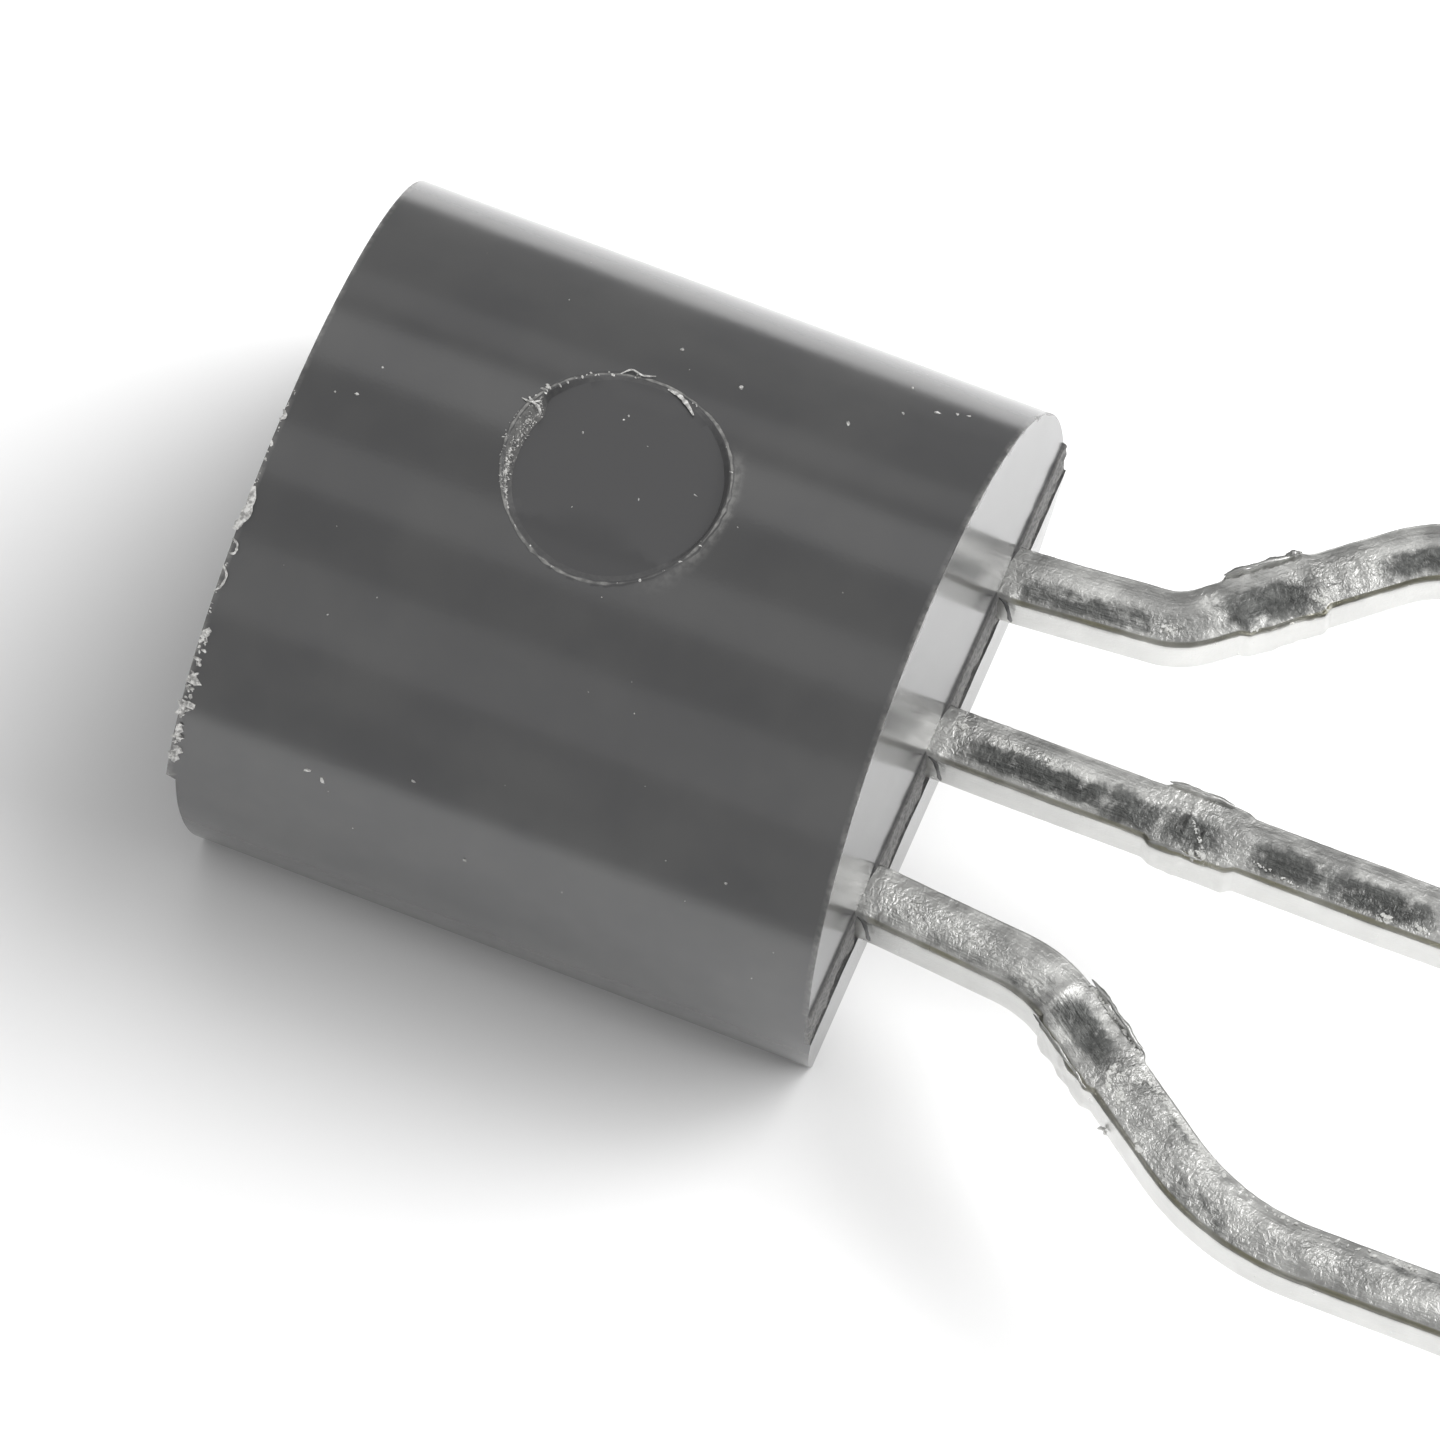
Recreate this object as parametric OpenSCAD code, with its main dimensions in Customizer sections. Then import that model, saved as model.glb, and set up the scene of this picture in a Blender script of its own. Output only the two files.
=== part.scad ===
// Three-lead shunt regulator in a moulded D-shaped package with formed leads.
// Frame: X across the three leads, Y along them toward their tips, Z up from the flat face.
// The origin is the middle of the flat face, which the package lies on. Millimetres.

/* [Body] */
// Width of the body, which is also the diameter of its round side
body_w = 4.6; // [4.4:0.05:4.9]
// Length of the body along the leads, at the parting line
body_l = 4.55; // [4.3:0.05:4.9]
// Thickness from the flat face to the top of the round side
body_t = 3.41; // [3.3:0.01:3.7]
// Draft of the end faces on the round half, in degrees
rear_draft = 2; // [0:0.5:5]
// Draft of the end faces on the flat half, in degrees
front_draft = 4; // [0:0.5:6]
// How far the round half is shifted away from the lead tips by the two mould halves
mould_shift_l = 0.065; // [0:0.005:0.1]
// How far the round half is shifted across the leads
mould_shift_w = 0.01; // [0:0.005:0.05]
// How deep the band of broken dam flash between the leads lies behind the flat half's end
flash_depth = 0.05; // [0.02:0.01:0.08]

/* [Ejector pin mark] */
// Diameter of the ejector pin's flat mark on the round side
mark_d = 1.5; // [1:0.05:1.8]
// Depth of the mark below the top of the round side
mark_depth = 0.14; // [0.1:0.01:0.25]
// Where the mark's centre lies across the body
mark_x = 0.06; // [-0.2:0.01:0.2]
// Where the mark's centre lies along the body
mark_y = -0.1; // [-0.3:0.01:0.3]

/* [Leads] */
// Width of each lead
lead_w = 0.42; // [0.36:0.01:0.5]
// Thickness of the lead frame
lead_t = 0.38; // [0.3:0.01:0.5]
// Bevel along the four long edges of each lead outside the body
lead_bevel = 0.06; // [0.02:0.01:0.1]
// Height of the lead frame's middle above the flat face
lead_h = 1.14; // [1:0.01:1.4]
// Spacing of the leads where they leave the body
lead_pitch = 1.27; // [1.2:0.01:1.35]
// Reach of the lead tips beyond the body
lead_l = 14; // [11:0.5:20]

/* [Lead forming] */
// Spacing of the leads after forming
formed_pitch = 2.6; // [2.4:0.05:2.8]
// Outward splay of the outer leads as they leave the body, in degrees
splay = 5; // [1:1:8]
// Radius of that first, slight bend
splay_r = 1; // [0.5:0.1:2]
// Straight stretch before the outer leads turn out
neck_l = 0.9; // [0.7:0.05:1.2]
// Angle of the reference lead's slope, in degrees
reference_slope = 41; // [36:1:48]
// Radius at the start of the reference lead's slope
reference_bend_r = 0.5; // [0.3:0.1:0.8]
// Radius at the end of the reference lead's slope
reference_return_r = 0.9; // [0.4:0.1:1.2]
// Angle of the cathode lead's slope, in degrees
cathode_slope = 36; // [34:1:42]
// Radius at the start of the cathode lead's slope
cathode_bend_r = 1; // [0.4:0.1:1.2]
// Radius at the end of the cathode lead's slope
cathode_return_r = 1.8; // [0.6:0.1:2]

/* [Sheared dam bar] */
// Distance along each lead from the body to the middle of the sheared dam bar
bar_at = 1.8; // [1.7:0.05:2]
// Length of the sheared stub along the lead
bar_l = 0.5; // [0.3:0.05:0.6]
// How far the stub stands out from the lead on each side
bar_stub = 0.05; // [0.02:0.01:0.08]
// Length of the taper at each end of the stub
bar_taper = 0.08; // [0.04:0.01:0.12]

/* [Lead frame inside the body] */
// Width of the paddle that carries the die
paddle_w = 1.5; // [1.3:0.05:1.6]
// Length of the paddle
paddle_l = 2.2; // [2:0.05:2.4]
// Distance from the body's lead end to the paddle
paddle_in = 1.35; // [1.25:0.05:1.6]
// Diameter of the hole in the paddle that the epoxy locks into
lock_hole_d = 0.5; // [0.3:0.05:0.6]
// Width of the bond post at the inner end of each outer lead
post_w = 0.64; // [0.55:0.01:0.7]
// Length of the bond post
post_l = 0.8; // [0.6:0.05:1]
// Distance from the body's lead end to the bond post
post_in = 1.15; // [1.05:0.05:1.3]
// How far the anchoring ears stand out from each lead
ear_w = 0.12; // [0.05:0.01:0.15]
// Length of the anchoring ears along the lead
ear_l = 0.25; // [0.15:0.01:0.3]
// Distance from the body's lead end to the ears
ear_in = 0.5; // [0.4:0.05:0.6]

/* [Die and bond wires] */
// Width of the silicon die across the leads
die_w = 1; // [0.8:0.05:1.1]
// Length of the silicon die along the leads
die_l = 0.85; // [0.7:0.05:0.95]
// Thickness of the silicon die
die_t = 0.2; // [0.15:0.01:0.3]
// Distance from the paddle's near edge to the die
die_in = 0.45; // [0.4:0.01:0.5]
// Thickness of the die attach layer
attach_t = 0.02; // [0.01:0.005:0.03]
// How far the die attach shows around the die
attach_rim = 0.04; // [0.02:0.01:0.06]
// Distance from the die's edge to the middle of each bond pad
pad_in = 0.12; // [0.08:0.01:0.2]
// Diameter of the bond wires
wire_d = 0.03; // [0.02:0.005:0.05]
// Height of the wire loops over the die
loop_h = 0.16; // [0.1:0.01:0.25]
// Diameter of the ball or stitch at each end of a wire
bond_d = 0.08; // [0.07:0.005:0.1]
// Thickness of the ball or stitch
bond_t = 0.02; // [0.01:0.005:0.03]

/* [Hidden] */
$fn = 96;

// Heights above the flat face
round_z = body_t - body_w / 2;
frame_top = lead_h + lead_t / 2;
frame_low = lead_h - lead_t / 2;
attach_low = frame_low - attach_t;
die_low = attach_low - die_t;

// Places along the leads: the parting plane is level with the top of the lead frame
lead_end = body_l / 2;
die_near = lead_end - paddle_in - die_in;
die_mid = die_near - die_l / 2;
post_mid = lead_end - post_in - post_l / 2;
// Where the bevelled section takes over from the stamped pattern inside the body, and their lap
bevel_start = lead_end - 0.3;
lap = 0.05;

// The three bond pads, and where their wires land on the lead frame
pads = [[-die_w / 2 + pad_in, die_near - pad_in], [0, die_near - pad_in], [die_w / 2 - pad_in, die_near - pad_in]];
landings = [[-lead_pitch, post_mid], [0, die_near + die_in / 2 + attach_rim / 2], [lead_pitch, post_mid]];
wire_rings = 12;
wire_sides = 8;

// Largest angle between two facets of a lead's bend
facet_angle = 4.5;

// Half of the D section: the round outline cut by the flat, between two heights
module d_section(low, high) {
    intersection() {
        translate([0, round_z])
            circle(d = body_w);
        translate([-body_w, low])
            square([2 * body_w, high - low]);
    }
}

// One moulded half: the D section cut by end faces that draw in away from the parting plane
module mould_half(low, high, draft) {
    inset_low = (frame_top - low) * tan(draft);
    inset_high = (high - frame_top) * tan(draft);
    intersection() {
        rotate([90, 0, 0])
            linear_extrude(2 * body_l, center = true)
                d_section(low, high);
        rotate([90, 0, 90])
            linear_extrude(2 * body_w, center = true)
                polygon([
                    [-lead_end + inset_low, low],
                    [lead_end - inset_low, low],
                    [lead_end - inset_high, high],
                    [-lead_end + inset_high, high]
                ]);
    }
}

// The flat half, with the band across its lead end where the dam flash broke away
module front_half() {
    difference() {
        mould_half(0, frame_top, front_draft);
        translate([-body_w, lead_end - flash_depth, frame_low])
            cube([2 * body_w, body_l, 2 * lead_t]);
    }
}

// The round half, shifted by the mould and marked by the ejector pin
module rear_half() {
    difference() {
        translate([-mould_shift_w, -mould_shift_l, 0])
            mould_half(frame_top, body_t, rear_draft);
        translate([mark_x, mark_y, body_t - mark_depth])
            cylinder(d = mark_d, h = mark_d);
    }
}

// Everything that the epoxy flows around
module embedded() {
    lead_reference();
    lead_anode();
    lead_cathode();
    die();
    die_attach();
    bond_wire_reference();
    bond_wire_anode();
    bond_wire_cathode();
}

module body() {
    color("#4e4e50")
        difference() {
            union() {
                front_half();
                rear_half();
            }
            embedded();
        }
}

// A flat pattern stamped out of the lead frame
module stamped() {
    translate([0, 0, frame_low])
        linear_extrude(lead_t)
            children();
}

// A solid through a list of rings that all have the same number of points
module skin(rings) {
    sides = len(rings[0]);
    last = len(rings) - 1;
    polyhedron(
        points = [for (ring = rings) each ring],
        faces = concat(
            [[for (k = [0 : sides - 1]) k]],
            [for (r = [0 : last - 1], k = [0 : sides - 1])
                let (a = r * sides + k, b = r * sides + (k + 1) % sides)
                each [[a, a + sides, b], [b, a + sides, b + sides]]],
            [[for (k = [sides - 1 : -1 : 0]) last * sides + k]]));
}

// The bevelled section of a lead: how far each corner lies across and above the lead's middle
lead_section =
    let (w = lead_w / 2, t = lead_t / 2, b = lead_bevel)
    [[w - b, t], [w, t - b], [w, b - t], [w - b, -t], [b - w, -t], [-w, b - t], [-w, t - b], [b - w, t]];

// Stations [x, y, heading] along a lead that starts at the origin toward +Y and turns toward +X.
// Each step is [straight length, radius of the bend after it, angle of that bend].
function stations(steps, from = [0, 0, 0], i = 0) =
    let (
        heading = from[2],
        x = from[0] + steps[i][0] * sin(heading),
        y = from[1] + steps[i][0] * cos(heading),
        turn = steps[i][2],
        side = sign(turn) * steps[i][1],
        count = ceil(abs(turn) / facet_angle),
        bend = [for (k = [0 : count])
            let (h = heading + (count > 0 ? turn * k / count : 0))
            [x + side * (cos(heading) - cos(h)), y + side * (sin(h) - sin(heading)), h]]
    )
    concat(i == 0 ? [from] : [], bend, i < len(steps) - 1 ? stations(steps, bend[count], i + 1) : []);

function station_ring(station) =
    [for (p = lead_section)
        [station[0] + p[0] * cos(station[2]), station[1] - p[0] * sin(station[2]), p[1]]];

// The sheared dam bar's stubs on both sides of a lead, around their middle
module stubs() {
    w = lead_w / 2;
    flat = bar_l / 2;
    ramp = flat + bar_taper;
    translate([0, 0, -lead_t / 2])
        linear_extrude(lead_t)
            polygon([
                [-w, -ramp], [-w - bar_stub, -flat], [-w - bar_stub, flat], [-w, ramp],
                [w, ramp], [w + bar_stub, flat], [w + bar_stub, -flat], [w, -ramp]
            ]);
}

// A lead outside the body: its steps, and the station and distance from there to the dam bar's stubs
module formed(steps, stub_station, stub_at) {
    translate([0, bevel_start - lap, lead_h]) {
        skin([for (s = stations(steps)) station_ring(s)]);
        translate([stub_station[0], stub_station[1], 0])
            rotate([0, 0, -stub_station[2]])
                translate([0, stub_at, 0])
                    stubs();
    }
}

// An outer lead outside the body: splay, neck, slope out to the formed pitch, then straight
module outer_run(slope, bend_r, return_r) {
    inside = lead_end - bevel_start + lap;
    start = [[inside, splay_r, splay], [neck_l, bend_r, slope - splay]];
    bent = stations(start);
    slope_start = bent[len(bent) - 1];
    slope_x = formed_pitch - lead_pitch - slope_start[0] - return_r * (1 - cos(slope));
    slope_y = slope_x / tan(slope);
    straight_l = inside + lead_l - slope_start[1] - slope_y - return_r * sin(slope);
    before_slope = neck_l + (splay_r * splay + bend_r * (slope - splay)) * PI / 180;
    translate([lead_pitch, 0, 0])
        formed(concat(start, [[slope_x / sin(slope), return_r, -slope], [straight_l, 0, 0]]),
            slope_start, bar_at - before_slope);
}

// Flat pattern of a lead's neck inside the body, with its anchoring ears
module neck_outline(length) {
    w = lead_w / 2;
    translate([-w, lead_end - length])
        square([lead_w, bevel_start - lead_end + length]);
    translate([-w - ear_w, lead_end - ear_in - ear_l])
        square([lead_w + 2 * ear_w, ear_l]);
}

// Flat pattern of an outer lead inside the body, ending in its bond post
module post_outline() {
    translate([lead_pitch, 0]) {
        neck_outline(post_in);
        translate([-post_w / 2, lead_end - post_in - post_l])
            square([post_w, post_l]);
    }
}

// Flat pattern of the centre lead inside the body, ending in the die paddle
module paddle_outline() {
    neck_outline(paddle_in);
    difference() {
        translate([-paddle_w / 2, lead_end - paddle_in - paddle_l])
            square([paddle_w, paddle_l]);
        translate([0, (die_near - die_l + lead_end - paddle_in - paddle_l) / 2])
            circle(d = lock_hole_d);
    }
}

module lead_reference() {
    color("#c4c4be")
        mirror([1, 0, 0]) {
            stamped()
                post_outline();
            outer_run(reference_slope, reference_bend_r, reference_return_r);
        }
}

module lead_cathode() {
    color("#c4c4be") {
        stamped()
            post_outline();
        outer_run(cathode_slope, cathode_bend_r, cathode_return_r);
    }
}

module lead_anode() {
    color("#c4c4be") {
        stamped()
            paddle_outline();
        formed([[lead_end - bevel_start + lap + lead_l, 0, 0]], [0, 0, 0], lead_end - bevel_start + lap + bar_at);
    }
}

// The die hangs on the side of the paddle that faces the flat
module die() {
    color("#5a5f6e")
        translate([-die_w / 2, die_near - die_l, die_low])
            cube([die_w, die_l, die_t]);
}

module die_attach() {
    color("#b8b8b0")
        translate([-die_w / 2 - attach_rim, die_near - die_l - attach_rim, attach_low])
            cube([die_w + 2 * attach_rim, die_l + 2 * attach_rim, attach_t]);
}

// A point on a wire's loop, from 0 at the ball to 1 at the stitch: highest near the ball
function loop_z(t) =
    let (bow = loop_h * sin(180 * pow(t, 0.6)))
    (die_low - bond_t / 2) * (1 - t) + (frame_low - bond_t / 2) * t - bow;

function loop_point(from, to, t) =
    [from[0] + (to[0] - from[0]) * t, from[1] + (to[1] - from[1]) * t, loop_z(t)];

// One ring of a wire, square to its path
function wire_ring(from, to, t) =
    let (
        step = 0.01,
        ahead = loop_point(from, to, min(t + step, 1)),
        behind = loop_point(from, to, max(t - step, 0)),
        along = (ahead - behind) / norm(ahead - behind),
        flat = [to[0] - from[0], to[1] - from[1], 0],
        side = cross([0, 0, 1], flat / norm(flat)),
        up = cross(along, side),
        middle = loop_point(from, to, t)
    )
    [for (k = [0 : wire_sides - 1])
        middle + wire_d / 2 * (cos(360 * k / wire_sides) * side + sin(360 * k / wire_sides) * up)];

module bond(at, z) {
    translate([at[0], at[1], z - bond_t])
        cylinder(d = bond_d, h = bond_t, $fn = wire_sides);
}

// A gold wire from its ball on the die to its stitch on the lead frame
module bond_wire(from, to) {
    color("#d9b04c") {
        skin([for (r = [0 : wire_rings]) wire_ring(from, to, r / wire_rings)]);
        bond(from, die_low);
        bond(to, frame_low);
    }
}

module bond_wire_reference() { bond_wire(pads[0], landings[0]); }
module bond_wire_anode() { bond_wire(pads[1], landings[1]); }
module bond_wire_cathode() { bond_wire(pads[2], landings[2]); }

body();
lead_reference();
lead_anode();
lead_cathode();
die();
die_attach();
bond_wire_reference();
bond_wire_anode();
bond_wire_cathode();
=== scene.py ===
# Shunt regulator in a moulded D package, lying on its flat face, with three formed leads.
# X runs across the leads, Y along them toward their tips, Z up from the flat face. Sizes are in millimetres
# until a mesh is made.
import bpy
import numpy as np
from mathutils import Matrix, Vector


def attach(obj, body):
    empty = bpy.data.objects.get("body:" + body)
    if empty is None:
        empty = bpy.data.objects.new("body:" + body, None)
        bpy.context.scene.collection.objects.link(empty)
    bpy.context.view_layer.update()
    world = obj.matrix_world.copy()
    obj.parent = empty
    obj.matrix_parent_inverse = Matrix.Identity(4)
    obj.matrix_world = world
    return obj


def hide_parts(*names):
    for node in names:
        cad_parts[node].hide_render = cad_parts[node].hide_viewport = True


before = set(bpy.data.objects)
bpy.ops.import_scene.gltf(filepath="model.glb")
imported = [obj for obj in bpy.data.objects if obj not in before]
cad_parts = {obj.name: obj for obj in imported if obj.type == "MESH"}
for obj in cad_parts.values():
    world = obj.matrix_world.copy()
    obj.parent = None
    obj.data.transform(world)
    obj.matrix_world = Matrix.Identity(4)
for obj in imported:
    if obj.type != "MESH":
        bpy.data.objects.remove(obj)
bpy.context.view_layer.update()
mm = 0.001
up = np.array([0.0, 0.0, 1.0])


# Shared helpers
def smooth(t):
    # The smoothstep curve: 0 below 0, 1 above 1, with level ends
    t = np.clip(t, 0, 1)
    return t * t * (3 - 2 * t)


def between(x, low, high, fade):
    # 1 from low to high, falling to 0 over the width of fade outside them
    return smooth((x - low) / fade + 1) * smooth((high - x) / fade + 1)


def xyz(x, y, z):
    # Points from their three parts, spread to one shape
    return np.stack(np.broadcast_arrays(x, y, z), axis=-1)


def wobble(x, y, z, cell, seed):
    # A smooth random field from -1 to 1: random values on a lattice, blended between with smoothstep
    lattice = 64  # points each way before the field repeats
    table = np.random.default_rng(seed).uniform(-1, 1, (lattice, lattice, lattice))
    place = xyz(x, y, z) / cell
    base = np.floor(place).astype(int)
    part = smooth(place - base)
    total = np.zeros(base.shape[:-1])
    for corner in np.ndindex(2, 2, 2):
        share = np.prod(np.where(corner, part, 1 - part), axis=-1)
        at = (base + corner) % lattice
        total += share * table[at[..., 0], at[..., 1], at[..., 2]]
    return total


def unit(vectors):
    # Each vector over its own length
    return vectors / np.linalg.norm(vectors, axis=-1, keepdims=True)


def gridTriangles(points):
    # Two triangles for each cell of each grid of points, facing along (row direction) x (column direction)
    rows, columns = points.shape[-3:-1]
    a = np.arange(points.size // 3).reshape(-1, rows, columns)[:, :-1, :-1]
    return np.stack([a, a + columns, a + 1, a + 1, a + columns, a + columns + 1], axis=-1).reshape(-1, 3)


def closeEnds(rings):
    # Adds a row of the ring's middle at each end of a tube of rings, so that the weld caps it
    first = np.broadcast_to(rings[:1, :-1].mean(axis=1, keepdims=True), rings[:1].shape)
    last = np.broadcast_to(rings[-1:, :-1].mean(axis=1, keepdims=True), rings[-1:].shape)
    return np.concatenate([first, rings, last])


def addObject(name, data):
    # Puts a mesh, a light or a camera in the scene
    made = bpy.data.objects.new(name, data)
    bpy.context.scene.collection.objects.link(made)
    return made


def addPiece(name, points, material, replaced=(), uv=None, fields=None, sharp=35):
    # Makes grids of points a mesh: welds points that share a place, and drops triangles that lost a corner
    weldGap = 1e-6
    triangles = gridTriangles(points)
    points = points.reshape(-1, 3)
    keys = np.round(points / weldGap).astype(np.int64)
    first, index = np.unique(keys, axis=0, return_index=True, return_inverse=True)[1:]
    welded = index.reshape(-1)[triangles]
    kept = (welded != np.roll(welded, 1, axis=1)).all(axis=1)
    welded = welded[kept]
    mesh = bpy.data.meshes.new(name)
    mesh.vertices.add(len(first))
    mesh.vertices.foreach_set("co", (points[first] * mm).ravel())
    mesh.loops.add(welded.size)
    mesh.loops.foreach_set("vertex_index", welded.ravel())
    mesh.polygons.add(len(welded))
    mesh.polygons.foreach_set("loop_start", np.arange(0, welded.size, 3))
    mesh.update(calc_edges=True)
    if uv is not None:
        layer = mesh.uv_layers.new(name="strip")
        layer.data.foreach_set("uv", uv.reshape(-1, 2)[triangles[kept].ravel()].ravel())
    for field, values in (fields or {}).items():
        mesh.attributes.new(field, "FLOAT", "POINT").data.foreach_set("value", values.ravel()[first])
    mesh.shade_smooth()
    mesh.set_sharp_from_angle(angle=np.radians(sharp))
    mesh.materials.append(material)
    piece = addObject(name, mesh)
    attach(piece, "root")
    if replaced:
        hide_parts(*replaced)
    print(name, len(welded), "triangles")


def linear(code):
    # An sRGB hex code as linear red, green, blue and alpha
    values = [int(code[k:k + 2], 16) / 255 for k in (1, 3, 5)]
    return tuple(v / 12.92 if v <= 0.04045 else ((v + 0.055) / 1.055) ** 2.4 for v in values) + (1.0,)


def addNode(tree, kind, inputs=None, output=0, **settings):
    # Adds one shader node with its settings and links: an input is a value, or the socket that feeds it.
    # Gives one of its outputs back
    node = tree.nodes.new("ShaderNode" + kind)
    for name, value in settings.items():
        setattr(node, name, value)
    for socket, value in (inputs or {}).items():
        if isinstance(value, bpy.types.NodeSocket):
            tree.links.new(value, node.inputs[socket])
        else:
            node.inputs[socket].default_value = value
    return node.outputs[output]


def newMaterial(name, **constants):
    # A material with these constants on its shader's own sockets, with its tree and Object coordinates
    material = bpy.data.materials.new(name)
    material.use_nodes = True
    tree = material.node_tree
    for socket, value in constants.items():
        tree.nodes["Principled BSDF"].inputs[socket].default_value = value
    return material, tree, addNode(tree, "TexCoord", output="Object")


perMm = 1 / mm  # a noise scale of perMm / 0.1 has grains 0.1 mm across
eased = {"interpolation_type": "SMOOTHSTEP"}
colours = {"data_type": "RGBA"}  # a Mix node goes from colour 6 to 7 by the share at 0, out at 2


def toned(tree, noise, low, high, dark, pale):
    # A colour that eases from one tone to another as a noise goes from low to high
    share = addNode(tree, "MapRange", {"Value": noise, "From Min": low, "From Max": high}, **eased)
    return addNode(tree, "Mix", {0: share, 6: linear(dark), 7: linear(pale)}, 2, **colours)


def finished(material, colour, layers=(), bumps=(), **sockets):
    # Lays colours over the first, each by its share, stands each bump on the one before, and links all that
    # and what else is given to the material's shader
    tree = material.node_tree
    for share, over in layers:
        colour = addNode(tree, "Mix", {0: share, 6: colour, 7: over}, 2, **colours)
    sockets["Base Color"] = colour
    relief = {}
    for height, depth, strength in bumps:
        relief["Normal"] = addNode(tree, "Bump", {"Height": height, "Distance": depth * mm,
                                                  "Strength": strength, **relief})
    for socket, result in {**sockets, **relief}.items():
        tree.links.new(result, tree.nodes["Principled BSDF"].inputs[socket])
    return material


def moldedEpoxy():
    # Epoxy moulding compound, transfer moulded in a polished steel cavity: near black, with a satin gloss
    # that mirrors softly, faint flow clouds, the grey grain of its silica filler where it tore, pale film at
    # rims, a painted sheen in the film's pale colour past the ejector mark's rim, and the mark's wall
    # lightened with the filler's grey as painted light against its shade
    material, tree, place = newMaterial("moldedEpoxy", IOR=1.58)
    torn, filmAndSheen, ground = (addNode(tree, "Attribute", output="Fac", attribute_name=field)
                          for field in ("torn", "filmAndSheen", "ground"))
    clouds, filler, flakes, rubble, swell = (
        addNode(tree, "TexNoise", {"Vector": place, "Scale": perMm / size, "Detail": detail,
                                   "Roughness": rough})
        for size, detail, rough in ((0.9, 3, 0.5), (0.03, 2, 0.6), (0.05, 3, 0.5), (0.06, 4, 0.7),
                                    (0.5, 1, 0.5)))
    moulded = toned(tree, clouds, 0.3, 0.7, "#5e5e5f", "#656565")
    tornColour = toned(tree, filler, 0.3, 0.7, "#6d6d6d", "#979694")
    filmAndSheenColour = toned(tree, flakes, 0.3, 0.7, "#7b7b7a", "#b9b8b5")
    glossy = addNode(tree, "MapRange", {"Value": clouds, "From Min": 0.2, "From Max": 0.8, "To Min": 0.15,
                                        "To Max": 0.2})
    spoiled = addNode(tree, "Math", {0: torn, 1: filmAndSheen}, operation="MAXIMUM")
    dry = addNode(tree, "Math", {0: spoiled, 1: 0.75}, operation="MULTIPLY")
    sheen = addNode(tree, "Math", {0: glossy, 1: dry}, operation="MAXIMUM")
    rough = addNode(tree, "Math", {0: ground, 1: 0.2, 2: sheen}, operation="MULTIPLY_ADD")
    return finished(material, moulded, [(ground, linear("#5a5a5b")), (torn, tornColour), (filmAndSheen, filmAndSheenColour)],
                    [(swell, 0.006, 0.3), (filler, 0.001, 0.4), (rubble, 0.02, torn)], Roughness=rough)


def tinPlate():
    # Matte tin plated on a stamped copper alloy frame, then formed and rubbed in tools: soft silver that
    # mirrors in smears, with crumpled rubs, painted white glints, painted dark reflections as patches with
    # mottled edges on the flats, sides in a plain paler tin as a painted reflection, fine drawn scratches,
    # and a little tarnish along one bevel
    material, tree, place = newMaterial("tinPlate", Metallic=1.0)
    strip = addNode(tree, "UVMap", output="UV", uv_map="strip")
    drawn = addNode(tree, "Mapping", {"Vector": strip, "Scale": (0.08, 1.0, 1.0)})
    dark, crumple, glint, tarnish, flank = (addNode(tree, "Attribute", output="Fac", attribute_name=field)
                                            for field in ("dark", "crumple", "glint", "tarnish", "flank"))
    soft, mottle, crumb, scratch = (
        addNode(tree, "TexNoise", {"Vector": vector, "Scale": perMm / size, "Detail": detail,
                                   "Roughness": rough, "Distortion": bent})
        for vector, size, detail, rough, bent in ((place, 0.25, 2, 0.5, 0), (place, 0.11, 5, 0.62, 0),
                                                  (place, 0.04, 3, 0.6, 0.8), (drawn, 0.02, 3, 0.6, 0)))
    # Painted dark reflections: the dark marks, given mottled edges by the noise, darken the tin toward a
    # dark grey
    uneven = addNode(tree, "Math", {0: mottle, 1: 1.9, 2: -0.95}, operation="MULTIPLY_ADD")
    edge = addNode(tree, "Math", {0: dark, 1: uneven}, operation="ADD")
    paintedDark = addNode(tree, "MapRange", {"Value": edge, "From Min": 0.2, "From Max": 0.85}, **eased)
    # Painted glints: where the glint marks meet the crumb noise, the tin turns to a matte near white
    chips = addNode(tree, "MapRange", {"Value": crumb, "From Min": 0.5, "From Max": 0.58}, **eased)
    paintedGlint = addNode(tree, "Math", {0: chips, 1: glint}, operation="MULTIPLY")
    metal = addNode(tree, "Math", {0: 1.0, 1: paintedGlint}, operation="SUBTRACT")
    clean = toned(tree, soft, 0.3, 0.7, "#a9a9a7", "#dadad7")
    paintedDarkColour = toned(tree, mottle, 0.35, 0.7, "#505150", "#7b7c7a")
    matte = addNode(tree, "MapRange", {"Value": mottle, "From Min": 0.25, "From Max": 0.75, "To Min": 0.26,
                                       "To Max": 0.36})
    rough = addNode(tree, "Math", {0: crumple, 1: 0.06, 2: matte}, operation="MULTIPLY_ADD")
    crumpled = addNode(tree, "Math", {0: crumple, 1: 0.75, 2: 0.2}, operation="MULTIPLY_ADD")
    return finished(material, clean, [(paintedDark, paintedDarkColour), (flank, linear("#e0e0de")),
                                      (tarnish, linear("#a5a28c")), (paintedGlint, linear("#fbfbf7"))],
                    [(soft, 0.03, 0.12), (crumb, 0.02, crumpled), (scratch, 0.005, 0.45)],
                    Metallic=metal, Roughness=rough)


def grainedFinish(name, dark, pale, grain, relief, **constants):
    # A finish whose colour runs between two tones in grains of this many millimetres, with the same relief
    material, tree, place = newMaterial(name, **constants)
    speckle = addNode(tree, "TexNoise", {"Vector": place, "Scale": perMm / grain, "Detail": 3,
                                         "Roughness": 0.6})
    return finished(material, toned(tree, speckle, 0.35, 0.65, dark, pale), bumps=[(speckle, relief, 0.5)])


epoxyFinish = moldedEpoxy()
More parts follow.
